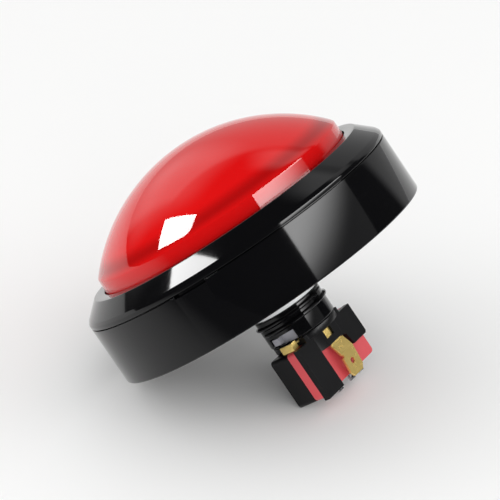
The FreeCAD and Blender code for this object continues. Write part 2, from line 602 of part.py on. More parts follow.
def switch_half(name, start, thick, wall_side):
    """One half of the switch case, drawn as a rounded block with the works' cavity taken out."""
    end = "switch_length / 2"
    body = new_body(name + "_block")
    block = pad(body, name + "_pad", "XZ_Plane", [
        (f"-{end}", SWITCH_BOTTOM), (f"{end}", SWITCH_BOTTOM), (f"{end}", "-plate_depth"),
        (f"-{end}", "-plate_depth")], thick, offset=start)
    round_edges(body, name + "_rounds", block, along_y, "switch_round")
    inside = (f"({start}) + switch_wall * {wall_side}", f"({start}) + ({thick}) - switch_wall * {1 - wall_side}")
    cavity = box(name + "_cavity", (f"-{end} + 1.9", f"{end} - 1.9"),
                 (f"-({inside[1]}) - {int(bool(wall_side))}", f"-({inside[0]}) + {int(not wall_side)}"),
                 (f"{SWITCH_BOTTOM} + 1.5", "-plate_depth - 1.4"))
    return body, cavity


def pin_holes(name, y, length, radius):
    low = f"{SWITCH_BOTTOM} + pin_inset"
    return [cross_pin(f"{name}_low", radius, length, "-pin_spacing_x / 2", y, low),
            cross_pin(f"{name}_high", radius, length, "pin_spacing_x / 2", y, f"{low} + pin_spacing_z")]


def switch_case():
    """Red base and black cover of the snap switch, parted along the case."""
    half = "switch_thick / 2"
    base, base_cavity = switch_half("switch_red", f"{half} - (switch_thick - cover_thick)",
                                    "switch_thick - cover_thick", 0)
    holes = pin_holes("base_hole", f"-{half} + switch_wall - 0.2", "switch_wall + 1", "pin_radius")
    subpart(cut("switch_base_whole", base, base_cavity, *holes), "switch_base", turned=True)
    cover, cover_cavity = switch_half("switch_black", f"-{half}", "cover_thick", 1)
    actuator_hole = cylinder("actuator_hole", "actuator_radius + moving_gap", "4", "-plate_depth - 3",
                             x="actuator_x")
    terminal_slots = [box(f"terminal_slot_{number}", (f"{place} - solder_width / 2 - 0.05",
                                                      f"{place} + solder_width / 2 + 0.05"),
                          ("-lug_thick / 2 - 0.05", "lug_thick / 2 + 0.05"),
                          (f"{SWITCH_BOTTOM} - 1", f"{SWITCH_BOTTOM} + 2"))
                      for number, place in enumerate(("common_x", "open_x", "closed_x"))]
    dimples = pin_holes("cover_hole", f"{half} + 1", "1.8", "pin_radius")
    subpart(cut("switch_cover_whole", cover, cover_cavity, actuator_hole, *terminal_slots, *dimples),
            "switch_cover", turned=True)


def solder_lug(name, place, top):
    """A flat lug that leaves the case at its bottom, with an eye for the wire."""
    foot = f"{SWITCH_BOTTOM} - solder_length"
    blade = box(name + "_blade", (f"{place} - solder_width / 2", f"{place} + solder_width / 2"),
                ("-lug_thick / 2", "lug_thick / 2"), (foot, top))
    eye = cross_pin(name + "_eye", "0.55", "2", place, "1", f"{foot} + 1.1")
    return cut(name + "_lug", blade, eye)


def strip(name, x, z):
    return box(name, x, ("-lug_thick / 2", "lug_thick / 2"), z)


def switch_terminals():
    """Common, normally open and normally closed terminals with their fixed contacts."""
    blade_low = "-blade_depth - blade_thick"
    common_top = f"{blade_low} - 0.1"
    subpart(solder_lug("terminal_common_body", "common_x", common_top), "terminal_common", turned=True)

    reach = "contact_x - contact_radius"
    swing = "(pivot_x - contact_x) * press_travel / (pivot_x - actuator_x)"
    open_face = f"{blade_low} - contact_thick - {swing} - moving_gap"
    open_low = f"{open_face} - contact_thick"
    open_whole = fuse(
        "terminal_open_whole", solder_lug("terminal_open_body", "open_x", open_low),
        strip("open_run", (reach, "open_x + solder_width / 2"), (f"{open_low} - 0.4", open_low)),
        cylinder("open_contact", "contact_radius", "contact_thick", open_low, x="contact_x"))
    subpart(open_whole, "terminal_open", turned=True)

    closed_face = "-blade_depth + contact_thick + moving_gap"
    closed_high = f"{closed_face} + contact_thick"
    side = "-switch_length / 2 + 1.95"
    closed_low = f"{SWITCH_BOTTOM} + 2.2"
    closed_whole = fuse(
        "terminal_closed_whole", solder_lug("terminal_closed_body", "closed_x", f"{closed_low} + 0.4"),
        strip("closed_foot", (side, "closed_x + solder_width / 2"), (closed_low, f"{closed_low} + 0.4")),
        strip("closed_riser", (side, f"{side} + 0.4"), (closed_low, f"{closed_high} + 0.4")),
        strip("closed_head", (side, "contact_x + contact_radius"), (closed_high, f"{closed_high} + 0.4")),
        cylinder("closed_contact", "contact_radius", "contact_thick", closed_face, x="contact_x"))
    subpart(closed_whole, "terminal_closed", turned=True)


def switch_works():
    """The actuator pin and the spring blade it pushes."""
    pin_top = "-leg_depth - actuator_gap"
    pin_low = "-blade_depth + actuator_gap"
    collar_low = "-blade_depth + actuator_gap + 0.5"
    subpart(fuse("actuator_whole",
                 cylinder("actuator_pin", "actuator_radius", f"{pin_top} - ({pin_low})", pin_low,
                          x="actuator_x"),
                 cylinder("actuator_collar", "actuator_radius + 0.7", "0.8", collar_low, x="actuator_x")),
            "switch_actuator", turned=True)
    leaf = box("blade_leaf", ("contact_x - 1", "pivot_x + 1"), ("-blade_width / 2", "blade_width / 2"),
               ("-blade_depth - blade_thick", "-blade_depth"))
    rivet = cylinder("blade_rivet", "contact_radius", "blade_thick + 2 * contact_thick",
                     "-blade_depth - blade_thick - contact_thick", x="contact_x")
    subpart(fuse("blade_whole", leaf, rivet), "switch_blade", turned=True)


base_shell()
neck_seal()
bezel_ring()
dome_lens()
diffuser()
plunger_carrier()
return_spring()
lamp_socket()
lamp_glass()
lamp_filament()
lamp_contacts()
switch_bracket()
switch_case()
switch_terminals()
switch_works()
doc.recompute()

faults = [f"{item.Name}: {item.State}" for item in doc.Objects
          if "Invalid" in item.State or "Error" in item.State]
for item in SUBPARTS:
    if item.Shape.isNull() or not item.Shape.isValid() or not item.Shape.Solids:
        faults.append(f"{item.Label}: bad shape")
if faults:
    raise RuntimeError("; ".join(faults))

os.makedirs("parts", exist_ok=True)
for item in SUBPARTS:
    item.Shape.exportStep(f"parts/{item.Label}.step")
    print(f"{item.Label}: {len(item.Shape.Solids)} solid, {item.Shape.Volume:.0f} mm3")
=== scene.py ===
# %% [markdown]
# # A large dome push button, the heart of a quiz buzzer
# The button is a moulded housing with a threaded stem, a trim ring, a red dome on a sprung carrier, and
# a lamp holder with a snap switch that plugs into the stem. The imported CAD model is the fixed frame: the
# cells below read some places and sizes from it, dress its pieces, and remodel the ones that need finer
# curves than CAD facets give.

# %% Load the frame
import json
import math

import bmesh
import bpy
from mathutils import Matrix, Vector


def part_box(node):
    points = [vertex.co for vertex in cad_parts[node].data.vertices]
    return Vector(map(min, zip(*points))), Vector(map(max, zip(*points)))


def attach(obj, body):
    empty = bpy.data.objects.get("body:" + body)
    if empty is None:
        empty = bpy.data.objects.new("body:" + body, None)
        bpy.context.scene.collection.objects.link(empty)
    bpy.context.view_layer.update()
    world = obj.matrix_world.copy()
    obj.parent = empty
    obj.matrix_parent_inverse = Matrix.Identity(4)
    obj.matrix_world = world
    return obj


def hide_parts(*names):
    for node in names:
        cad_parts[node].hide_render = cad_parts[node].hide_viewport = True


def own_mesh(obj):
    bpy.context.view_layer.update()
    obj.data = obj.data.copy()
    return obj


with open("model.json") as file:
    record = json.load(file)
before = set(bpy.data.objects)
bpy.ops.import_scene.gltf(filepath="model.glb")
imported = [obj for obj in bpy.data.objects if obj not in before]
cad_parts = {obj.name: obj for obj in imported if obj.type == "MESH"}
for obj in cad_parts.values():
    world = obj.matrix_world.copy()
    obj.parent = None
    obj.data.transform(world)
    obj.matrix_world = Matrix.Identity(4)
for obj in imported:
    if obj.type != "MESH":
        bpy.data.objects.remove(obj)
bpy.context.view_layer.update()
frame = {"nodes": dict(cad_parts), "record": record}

MM = 0.001
nodes = frame["nodes"]
print("pieces in the frame:", len(nodes))

# %% [markdown]
# ## Sizes
# A lathe-turned part is described by radii and heights. Some come from the boxes of the CAD nodes, so a
# change in the CAD model carries through there; the others, and the small radii of moulded edges, are this
# script's own.

# %% Sizes read from the frame
base_low, base_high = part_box("base_shell")
bezel_low, bezel_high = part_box("bezel_ring")
dome_low, dome_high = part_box("dome_lens")
SKIRT_RADIUS = base_high[0]
STEM_DEPTH = -base_low[2]
BEZEL_TOP = bezel_high[2]
RING_HEIGHT = 6.66 * MM          # from the seam to the ring's flat
SEAM_HEIGHT = BEZEL_TOP - RING_HEIGHT
SEAM_GAP = 0.3 * MM
BEZEL_HOLE = 41.1 * MM
BEZEL_WALL = 2.2 * MM
DOME_TOP = dome_high[2]
DOME_FOOT = dome_low[2]
DOME_RADIUS = 53.57 * MM
DOME_CENTER = DOME_TOP - DOME_RADIUS
BAND_RADIUS = 40.87 * MM
FLANGE_RADIUS = dome_high[0]
STEM_RADIUS = 10.8 * MM
STEM_BORE = 8.9 * MM
NECK_RADIUS = 9.95 * MM
HOLDER_TURN = 45                 # degrees: the holder's own front in the button's frame
LUG_SHIFT = -9                   # degrees: the bayonet lugs' place beside it
print("skirt radius %.1f mm, dome top %.2f mm" % (SKIRT_RADIUS / MM, DOME_TOP / MM))

# %% [markdown]
# ## The camera
# A long lens from a good metre away keeps the circles calm. The button lies tipped over on its skirt and
# on a corner of its switch, so the camera is rolled to put the table level: the three axes below are the
# camera's right, down and forward in the button's own frame.

# %% Camera
CAMERA_PLACE = Vector((0.0, -0.850416, 0.124214))
RIGHT = Vector((0.827669, -0.073972, -0.556320))
DOWN = Vector((-0.561216, -0.108896, -0.820474))
FORWARD = RIGHT.cross(DOWN)
camera_data = bpy.data.cameras.new("camera")
camera_data.lens = 216
camera_data.sensor_width = 36
camera_data.clip_end = 10
camera = bpy.data.objects.new("camera", camera_data)
bpy.context.collection.objects.link(camera)
camera_turn = Matrix((RIGHT, -DOWN, -FORWARD)).transposed().to_4x4()
camera.matrix_world = Matrix.Translation(CAMERA_PLACE) @ camera_turn
bpy.context.scene.camera = camera
bpy.context.scene.view_settings.view_transform = "Standard"
print("camera %.2f m from the button's axis" % CAMERA_PLACE.length)

# %% [markdown]
# ## The table
# The button rests on the rim of its skirt and on a corner of its switch, so the table is a plane through
# those two places, tilted in the button's frame. A plane is enough, because the table is only a ground for
# the soft shadow.

# %% Table
TABLE_UP = Vector((0.494, -0.373, 0.785)).normalized()
TABLE_DROP = 30.97 * MM
TABLE_RIGHT = (RIGHT - RIGHT.dot(TABLE_UP) * TABLE_UP).normalized()
TABLE_NEAR = TABLE_RIGHT.cross(TABLE_UP)
if TABLE_NEAR.dot(CAMERA_PLACE) < 0:
    TABLE_NEAR.negate()


def place_facing(item, center, along, across, normal):
    """Put an object at a place with its local X, Y and Z along three directions."""
    rotation = Matrix((along, across, normal)).transposed().to_4x4()
    item.matrix_world = Matrix.Translation(center) @ rotation


def link(item):
    bpy.context.collection.objects.link(item)
    return item


TABLE_HALF = 1.6
mesh = bpy.data.meshes.new("table")
mesh.from_pydata([(x * TABLE_HALF, y * TABLE_HALF, 0) for x, y in ((-1, -1), (1, -1), (1, 1), (-1, 1))],
                 [], [(0, 1, 2, 3)])
table = link(bpy.data.objects.new("table", mesh))
place_facing(table, -TABLE_DROP * TABLE_UP, TABLE_RIGHT, TABLE_UP.cross(TABLE_RIGHT), TABLE_UP)
print("table %.1f m wide, %.1f mm under the button's origin" % (2 * TABLE_HALF, TABLE_DROP / MM))

# %% [markdown]
# ## The table's finish
# The table is matt white paper. Two tricks keep the black parts deep. To glossy rays its near side is
# painted dark, a painted shade that shows only in reflections, so the skirt reflects a bright sweep only at
# its far side. And it is opaque only from above, so a look from below isn't blocked.

# %% Table finish
PAPER = (0.93, 0.93, 0.925, 1)
# painted shade seen in reflections: glossy rays see the table's near side in this dark colour
REFLECTED_SHADE_DARK = (0.05, 0.05, 0.05, 1)
FADE_START, FADE_END = -0.02, -0.20
paper = bpy.data.materials.new("table_paper")
paper.use_nodes = True
tree = paper.node_tree
shader = tree.nodes["Principled BSDF"]
shader.inputs["Roughness"].default_value = 0.75
shader.inputs["Specular IOR Level"].default_value = 0.2
place = tree.nodes.new("ShaderNodeTexCoord")
parts = tree.nodes.new("ShaderNodeSeparateXYZ")
near = tree.nodes.new("ShaderNodeMapRange")
near.interpolation_type = "SMOOTHSTEP"
near.inputs["From Min"].default_value = FADE_START
near.inputs["From Max"].default_value = FADE_END
rays = tree.nodes.new("ShaderNodeLightPath")
fade = tree.nodes.new("ShaderNodeMath")
fade.operation = "MULTIPLY"
tone = tree.nodes.new("ShaderNodeMix")
tone.data_type = "RGBA"
tone.inputs[6].default_value = PAPER
tone.inputs[7].default_value = REFLECTED_SHADE_DARK
behind = tree.nodes.new("ShaderNodeNewGeometry")
clear = tree.nodes.new("ShaderNodeBsdfTransparent")
choose = tree.nodes.new("ShaderNodeMixShader")
tree.links.new(place.outputs["Object"], parts.inputs[0])
tree.links.new(parts.outputs["Y"], near.inputs["Value"])
tree.links.new(near.outputs["Result"], fade.inputs[0])
tree.links.new(rays.outputs["Is Glossy Ray"], fade.inputs[1])
tree.links.new(fade.outputs["Value"], tone.inputs[0])
tree.links.new(tone.outputs[2], shader.inputs["Base Color"])
tree.links.new(behind.outputs["Backfacing"], choose.inputs["Fac"])
tree.links.new(shader.outputs[0], choose.inputs[1])
tree.links.new(clear.outputs[0], choose.inputs[2])
tree.links.new(choose.outputs[0], tree.nodes["Material Output"].inputs["Surface"])
table.data.materials.append(paper)
print("table finish:", paper.name)


# %% [markdown]
# ## The lights
# A glossy black part shows nothing but its surroundings, so the lights are shapes to be mirrored: a small
# bright window on the left, dim walls and a ceiling behind, and a large panel on the right that is bright
# only in its upper left. They are area lights that matt surfaces don't see. Plain fill lights, which glossy
# surfaces don't see, do the opposite and lift the shadows. In front all is dark, and that makes black deep.

# %% Light helpers
def toward(azimuth, elevation):
    """A direction over the table: azimuth 0 points at the camera and 90 to the right, in degrees."""
    a, e = math.radians(azimuth), math.radians(elevation)
    level = math.cos(a) * TABLE_NEAR + math.sin(a) * TABLE_RIGHT
    return math.cos(e) * level + math.sin(e) * TABLE_UP


def panel(name, azimuth, elevation, distance, width, height, radiance, spin=0.0, soft=False):
    """A rectangular light that faces the button; a soft one also lights matt surfaces."""
    data = bpy.data.lights.new(name, "AREA")
    data.shape = "RECTANGLE"
    data.size = width
    data.size_y = height
    data.energy = radiance * math.pi * width * height
    lamp = link(bpy.data.objects.new(name, data))
    out = toward(azimuth, elevation)
    across = TABLE_UP.cross(out).normalized()
    up = out.cross(across).normalized()
    turn = Matrix.Rotation(math.radians(spin), 3, out)
    place_facing(lamp, out * distance, turn @ across, turn @ up, out)
    lamp.visible_camera = False
    lamp.visible_diffuse = soft
    return lamp


def fade_panel(lamp, low, high):
    """Let a panel's light rise smoothly from its lower right corner towards its upper left."""
    rise = (-0.4, 1, 0)
    full = 0.5
    lamp.data.use_nodes = True
    tree = lamp.data.node_tree
    emission = tree.nodes["Emission"]
    spot = tree.nodes.new("ShaderNodeNewGeometry")
    slant = tree.nodes.new("ShaderNodeVectorMath")
    slant.operation = "DOT_PRODUCT"
    slant.inputs[1].default_value = rise
    ramp = tree.nodes.new("ShaderNodeMapRange")
    ramp.interpolation_type = "SMOOTHERSTEP"
    ramp.inputs["From Min"].default_value = 0.0
    ramp.inputs["From Max"].default_value = full
    ramp.inputs["To Min"].default_value = low
    ramp.inputs["To Max"].default_value = high
    tree.links.new(spot.outputs["Parametric"], slant.inputs[0])
    tree.links.new(slant.outputs["Value"], ramp.inputs["Value"])
    tree.links.new(ramp.outputs["Result"], emission.inputs["Strength"])


def feather_panel(lamp, edge):
    """Let a panel's light fall away smoothly near its four edges."""
    lamp.data.use_nodes = True
    tree = lamp.data.node_tree
    spot = tree.nodes.new("ShaderNodeNewGeometry")
    sides = tree.nodes.new("ShaderNodeSeparateXYZ")
    tree.links.new(spot.outputs["Parametric"], sides.inputs[0])
    total = None
    for axis, start, full in (("X", 0, edge), ("X", 1, 1 - edge), ("Y", 0, edge), ("Y", 1, 1 - edge)):
        ramp = tree.nodes.new("ShaderNodeMapRange")
        ramp.interpolation_type = "SMOOTHSTEP"
        ramp.inputs["From Min"].default_value = start
        ramp.inputs["From Max"].default_value = full
        tree.links.new(sides.outputs[axis], ramp.inputs["Value"])
        both = tree.nodes.new("ShaderNodeMath")
        both.operation = "MULTIPLY"
        both.inputs[1].default_value = 1.0
        tree.links.new(ramp.outputs["Result"], both.inputs[0])
        if total:
            tree.links.new(total.outputs["Value"], both.inputs[1])
        total = both
    tree.links.new(total.outputs["Value"], tree.nodes["Emission"].inputs["Strength"])


print("light helpers ready")

# %% Mirrored panels
# Azimuth, elevation, distance, width, height and radiance of each.
panel("left_window", -99.5, 32, 0.8, 0.22, 0.29, 22.0, spin=-31)
feather_panel(panel("back_wall", 178, 20, 1.2, 3.4, 1.3, 0.5), 0.12)
feather_panel(panel("left_wall", -138, 24, 1.0, 0.95, 1.05, 0.65), 0.35)
feather_panel(panel("back_ceiling", 172, 57, 1.0, 0.8, 0.45, 0.8), 0.35)
fade_panel(panel("right_panel", 63.5, 38.2, 0.9, 0.93, 0.8, 1.0), 0.3, 9.0)

# %% [markdown]
# ## Fill light and surroundings
# The rest of the studio is an even white that matt surfaces see almost whole and glossy ones hardly at all.
# Four soft fills from low down reach under the skirt, where the even light alone leaves too dark a shadow.

# %% Fills and world
FILL_DISTANCE, FILL_WIDTH, FILL_HEIGHT = 1.4, 1.2, 1.0
AROUND_MATT, AROUND_GLOSSY = 0.84, 0.03
for name, azimuth, elevation, radiance in (("sky", 170, 65, 0.15), ("left_fill", -75, 22, 1.0),
                                           ("right_fill", 80, 22, 1.2), ("front_fill", 5, 18, 1.3)):
    fill = panel(name, azimuth, elevation, FILL_DISTANCE, FILL_WIDTH, FILL_HEIGHT, radiance, soft=True)
    fill.visible_glossy = False

world = bpy.data.worlds.new("studio")
world.use_nodes = True
bpy.context.scene.world = world
tree = world.node_tree
background = tree.nodes["Background"]
rays = tree.nodes.new("ShaderNodeLightPath")
level = tree.nodes.new("ShaderNodeMapRange")
level.inputs["To Min"].default_value = AROUND_MATT
level.inputs["To Max"].default_value = AROUND_GLOSSY
tree.links.new(rays.outputs["Is Glossy Ray"], level.inputs["Value"])
tree.links.new(level.outputs["Result"], background.inputs["Strength"])
background.inputs["Color"].default_value = (1, 1, 1, 1)
print("even light: %.2f for matt surfaces, %.2f for glossy ones" % (AROUND_MATT, AROUND_GLOSSY))


# %% [markdown]
# ## Shared surface effects
# Moulded plastic is never perfectly even: its gloss drifts a little, it has a faint orange-peel wave, and
# dust settles on it. One node group makes the gloss and the wave, another the dust, and each material
# sets its own amounts. The groups give out only numbers and normals; the shader stays in the material.

# %% A helper for node groups
def new_group(name, inputs, outputs):
    group = bpy.data.node_groups.new(name, "ShaderNodeTree")
    for label, kind, number in inputs:
        socket = group.interface.new_socket(label, in_out="INPUT", socket_type=kind)
        socket.default_value = number
    for label, kind in outputs:
        group.interface.new_socket(label, in_out="OUTPUT", socket_type=kind)
    return group, group.nodes.new("NodeGroupInput"), group.nodes.new("NodeGroupOutput")


FLOAT, VECTOR = "NodeSocketFloat", "NodeSocketVector"


# %% The moulded surface group
def build_moulded():
    """Roughness that drifts over the surface and a normal with a fine wave."""
    group, given, result = new_group(
        "moulded_surface",
        [("Scale", FLOAT, 60.0), ("Low", FLOAT, 0.05), ("High", FLOAT, 0.12), ("Grain", FLOAT, 900.0),
         ("Height", FLOAT, 0.05)],
        [("Roughness", FLOAT), ("Normal", VECTOR)])
    make, wire = group.nodes.new, group.links.new
    place = make("ShaderNodeTexCoord")
    drift = make("ShaderNodeTexNoise")
    drift.inputs["Detail"].default_value = 4
    wire(place.outputs["Object"], drift.inputs["Vector"])
    wire(given.outputs["Scale"], drift.inputs["Scale"])
    spread = make("ShaderNodeMapRange")
    wire(drift.outputs["Fac"], spread.inputs["Value"])
    wire(given.outputs["Low"], spread.inputs["To Min"])
    wire(given.outputs["High"], spread.inputs["To Max"])
    wire(spread.outputs["Result"], result.inputs["Roughness"])
    grain = make("ShaderNodeTexNoise")
    grain.inputs["Detail"].default_value = 3
    wire(place.outputs["Object"], grain.inputs["Vector"])
    wire(given.outputs["Grain"], grain.inputs["Scale"])
    bump = make("ShaderNodeBump")
    bump.inputs["Distance"].default_value = 0.0001
    wire(given.outputs["Height"], bump.inputs["Strength"])
    wire(grain.outputs["Fac"], bump.inputs["Height"])
    wire(bump.outputs["Normal"], result.inputs["Normal"])
    return group


MOULDED = build_moulded()
print(MOULDED.name, "has", len(MOULDED.nodes), "nodes")


# %% The dust group
def build_dust():
    """A mask of sparse specks and faint film, from 0 to 1."""
    group, given, result = new_group("dust_specks", [("Scale", FLOAT, 1500.0), ("Amount", FLOAT, 0.5)],
                                     [("Mask", FLOAT)])
    make, wire = group.nodes.new, group.links.new
    place = make("ShaderNodeTexCoord")
    cells = make("ShaderNodeTexVoronoi")
    wire(place.outputs["Object"], cells.inputs["Vector"])
    wire(given.outputs["Scale"], cells.inputs["Scale"])
    speck = make("ShaderNodeMapRange")
    speck.inputs["From Min"].default_value = 0.10
    speck.inputs["From Max"].default_value = 0.05
    wire(cells.outputs["Distance"], speck.inputs["Value"])
    patches = make("ShaderNodeTexNoise")
    patches.inputs["Scale"].default_value = 40
    wire(place.outputs["Object"], patches.inputs["Vector"])
    where = make("ShaderNodeMapRange")
    where.inputs["From Min"].default_value = 0.5
    where.inputs["From Max"].default_value = 0.75
    wire(patches.outputs["Fac"], where.inputs["Value"])
    both = make("ShaderNodeMath")
    both.operation = "MULTIPLY"
    wire(speck.outputs["Result"], both.inputs[0])
    wire(where.outputs["Result"], both.inputs[1])
    amount = make("ShaderNodeMath")
    amount.operation = "MULTIPLY"
    wire(both.outputs["Value"], amount.inputs[0])
    wire(given.outputs["Amount"], amount.inputs[1])
    wire(amount.outputs["Value"], result.inputs["Mask"])
    return group


DUST = build_dust()
print(DUST.name, "has", len(DUST.nodes), "nodes")


# %% [markdown]
# ## One recipe for every finish
# Each finish starts alike: two close tones mixed by a soft noise, so no surface is one flat colour, then the
# dust and the moulded surface groups with the finish's own amounts. A function builds that, and plain
# numbers, such as metallic or the index of refraction, go directly on the shader's own sockets.

# %% Material helper
DUST_COLOR = (0.55, 0.54, 0.52, 1)


def material(name, color, tint=None, surface=None, dust=0.0, drift_scale=35.0, **numbers):
    """A Principled material whose colour drifts between two tones, with the shared effects wired in."""
    made = bpy.data.materials.new(name)
    made.use_nodes = True
    tree = made.node_tree
    make, wire = tree.nodes.new, tree.links.new
    shader = tree.nodes["Principled BSDF"]
    place = make("ShaderNodeTexCoord")
    noise = make("ShaderNodeTexNoise")
    noise.inputs["Scale"].default_value = drift_scale
    noise.inputs["Detail"].default_value = 5
    wire(place.outputs["Object"], noise.inputs["Vector"])
    tones = make("ShaderNodeMix")
    tones.data_type = "RGBA"
    tones.inputs[6].default_value = (*color, 1)
    tones.inputs[7].default_value = (*(tint or [0.8 * part for part in color]), 1)
    wire(noise.outputs["Fac"], tones.inputs[0])
    final = tones.outputs[2]
    if dust:
        specks = make("ShaderNodeGroup")
        specks.node_tree = DUST
        specks.inputs["Amount"].default_value = dust
        over = make("ShaderNodeMix")
        over.data_type = "RGBA"
        over.inputs[7].default_value = DUST_COLOR
        wire(specks.outputs["Mask"], over.inputs[0])
        wire(final, over.inputs[6])
        final = over.outputs[2]
    wire(final, shader.inputs["Base Color"])
    if surface:
        finish = make("ShaderNodeGroup")
        finish.node_tree = MOULDED
        for label, number in surface.items():
            finish.inputs[label].default_value = number
        wire(finish.outputs["Roughness"], shader.inputs["Roughness"])
        wire(finish.outputs["Normal"], shader.inputs["Normal"])
    for label, number in numbers.items():
        shader.inputs[label.replace("_", " ")].default_value = number
    return made


# %% [markdown]
# ## Plastics and metals
# Gloss ABS for the housing and ring, tinted acrylic for the dome, satin mouldings for the holder, a red
# thermoset for the switch, stamped brass, tinned lugs, spring wire and glass. The acrylic could be made
# transmissive, but a bright white diffuser close under it makes it look like a solid red, and that is quicker
# and calmer to render.

# %% Plastics
BLACK_GLOSS = material("black_gloss", (0.002, 0.002, 0.0025), (0.0035, 0.0035, 0.004),
                       surface={"Low": 0.04, "High": 0.09, "Height": 0.02, "Grain": 500.0}, dust=0.1,
                       IOR=1.42)
RED_LENS = material("red_lens", (0.72, 0.006, 0.006), (0.66, 0.004, 0.005),
                    surface={"Low": 0.02, "High": 0.045, "Height": 0.01, "Grain": 300.0}, dust=0.1)
BLACK_SATIN = material("black_satin", (0.004, 0.004, 0.0045), (0.007, 0.007, 0.008),
                       surface={"Low": 0.3, "High": 0.42, "Height": 0.2, "Grain": 2500.0}, dust=0.2,
                       Specular_IOR_Level=0.22)
RED_SWITCH = material("red_switch", (0.72, 0.085, 0.10), (0.62, 0.07, 0.082),
                      surface={"Low": 0.25, "High": 0.4, "Height": 0.15, "Grain": 2200.0}, dust=0.2)
WHITE_PLASTIC = material("white_plastic", (0.82, 0.82, 0.80), (0.76, 0.76, 0.74),
                         surface={"Low": 0.3, "High": 0.45, "Height": 0.1, "Grain": 1500.0})
PALE_PLASTIC = material("pale_plastic", (0.42, 0.42, 0.46), (0.36, 0.36, 0.40),
                        surface={"Low": 0.3, "High": 0.45, "Height": 0.1, "Grain": 1500.0})
SEAL_RUBBER = material("white_seal", (0.85, 0.86, 0.87), (0.80, 0.81, 0.82),
                       surface={"Low": 0.4, "High": 0.55, "Height": 0.1, "Grain": 1500.0})
ACTUATOR_BLACK = material("actuator_black", (0.02, 0.02, 0.02),
                          surface={"Low": 0.3, "High": 0.45, "Height": 0.1, "Grain": 1500.0})

# %% Metals and glass
BRASS = material("brass", (0.88, 0.66, 0.22), (0.72, 0.52, 0.16),
                 surface={"Low": 0.16, "High": 0.34, "Scale": 400.0, "Height": 0.1, "Grain": 3000.0},
                 Metallic=0.6, drift_scale=300.0)
TINNED = material("tinned", (0.72, 0.72, 0.74), (0.60, 0.60, 0.62),
                  surface={"Low": 0.18, "High": 0.35, "Scale": 400.0, "Height": 0.1, "Grain": 3000.0},
                  Metallic=1.0, drift_scale=300.0)
SPRING_STEEL = material("spring_steel", (0.55, 0.55, 0.57), (0.45, 0.45, 0.47),
                        surface={"Low": 0.2, "High": 0.35, "Height": 0.1, "Grain": 3000.0}, Metallic=1.0)
LAMP_GLASS = material("lamp_glass", (0.97, 0.98, 0.98), (0.94, 0.96, 0.96), Roughness=0.03,
                      Transmission_Weight=1.0, IOR=1.5)
print("finishes:", len(bpy.data.materials))



# %% [markdown]
# ## Colour that changes with the distance from the axis
# Two finishes change towards the rim. The lamp insert is black inside a set distance from the axis and pale
# outside it, on its lugs. The lens gets painted shade: a darker ring near its foot, where the diffuser under
# it ends and less light would come through. Both read the distance from the button's axis, which the
# object's own coordinates give, so the colour stays on the piece.

# %% Radial colour
def axis_distance(tree, inner, outer):
    """Nodes that give 0 at one distance from the axis and 1 at another."""
    place = tree.nodes.new("ShaderNodeTexCoord")
    flat = tree.nodes.new("ShaderNodeVectorMath")
    flat.operation = "MULTIPLY"
    flat.inputs[1].default_value = (1, 1, 0)
    length = tree.nodes.new("ShaderNodeVectorMath")
    length.operation = "LENGTH"
    span = tree.nodes.new("ShaderNodeMapRange")
    span.inputs["From Min"].default_value = inner
    span.inputs["From Max"].default_value = outer
    tree.links.new(place.outputs["Object"], flat.inputs[0])
    tree.links.new(flat.outputs["Vector"], length.inputs[0])
    tree.links.new(length.outputs["Value"], span.inputs["Value"])
    return span.outputs["Result"]


def color_source(tree):
    """The socket that feeds a material's base colour."""
    return tree.nodes["Principled BSDF"].inputs["Base Color"].links[0].from_socket


def add_core(made, core, limit):
    """Give a material another colour inside a distance from the button's axis."""
    tree = made.node_tree
    outer = color_source(tree)
    pick = tree.nodes.new("ShaderNodeMix")
    pick.data_type = "RGBA"
    pick.inputs[6].default_value = (*core, 1)
    tree.links.new(axis_distance(tree, limit, limit + 0.05 * MM), pick.inputs[0])
    tree.links.new(outer, pick.inputs[7])
    tree.links.new(pick.outputs[2], tree.nodes["Principled BSDF"].inputs["Base Color"])


def add_painted_rim_shade(made, inner, outer, strength, foot=0.9):
    """Paint shade into a colour: darken it in a soft ring round the button's axis, between two radii."""
    tree = made.node_tree
    plain = color_source(tree)
    ring = tree.nodes.new("ShaderNodeValToRGB")
    ring.color_ramp.interpolation = "EASE"
    stops = ring.color_ramp.elements
    stops[0].position, stops[0].color = 0.0, (1, 1, 1, 1)
    stops[1].position, stops[1].color = 1.0, (foot, foot, foot, 1)
    dark = stops.new(0.6)
    dark.color = (1 - strength, 1 - strength, 1 - strength, 1)
    shade = tree.nodes.new("ShaderNodeMix")
    shade.data_type = "RGBA"
    shade.blend_type = "MULTIPLY"
    shade.inputs[0].default_value = 1.0
    tree.links.new(axis_distance(tree, inner, outer), ring.inputs["Fac"])
    tree.links.new(plain, shade.inputs[6])
    tree.links.new(ring.outputs["Color"], shade.inputs[7])
    tree.links.new(shade.outputs[2], tree.nodes["Principled BSDF"].inputs["Base Color"])


CORE_BLACK = (0.008, 0.008, 0.009)
CORE_RADIUS = 8.2 * MM
# the lamp insert is coloured black inside this radius and pale outside it, on its lugs
add_core(PALE_PLASTIC, CORE_BLACK, CORE_RADIUS)
# painted shade: the lens colour is darkened in a ring near its foot, where less light comes through
add_painted_rim_shade(RED_LENS, 35.5 * MM, 40.9 * MM, 0.42)
print("lamp insert black inside %.1f mm" % (CORE_RADIUS / MM))

# %% Finishes on the CAD pieces
FINISH = {
    "black_gloss": BLACK_GLOSS, "red_lens": RED_LENS, "black_satin": BLACK_SATIN,
    "red_switch": RED_SWITCH, "white_plastic": WHITE_PLASTIC, "pale_plastic": PALE_PLASTIC,
    "white_seal": SEAL_RUBBER, "brass": BRASS, "tinned": TINNED, "spring_steel": SPRING_STEEL,
    "lamp_glass": LAMP_GLASS, "actuator_black": ACTUATOR_BLACK,
}
for entry in frame["record"]["subparts"]:
    piece = nodes[entry["node"]]
    piece.data.materials.clear()
    piece.data.materials.append(FINISH[entry["material_slot"]])


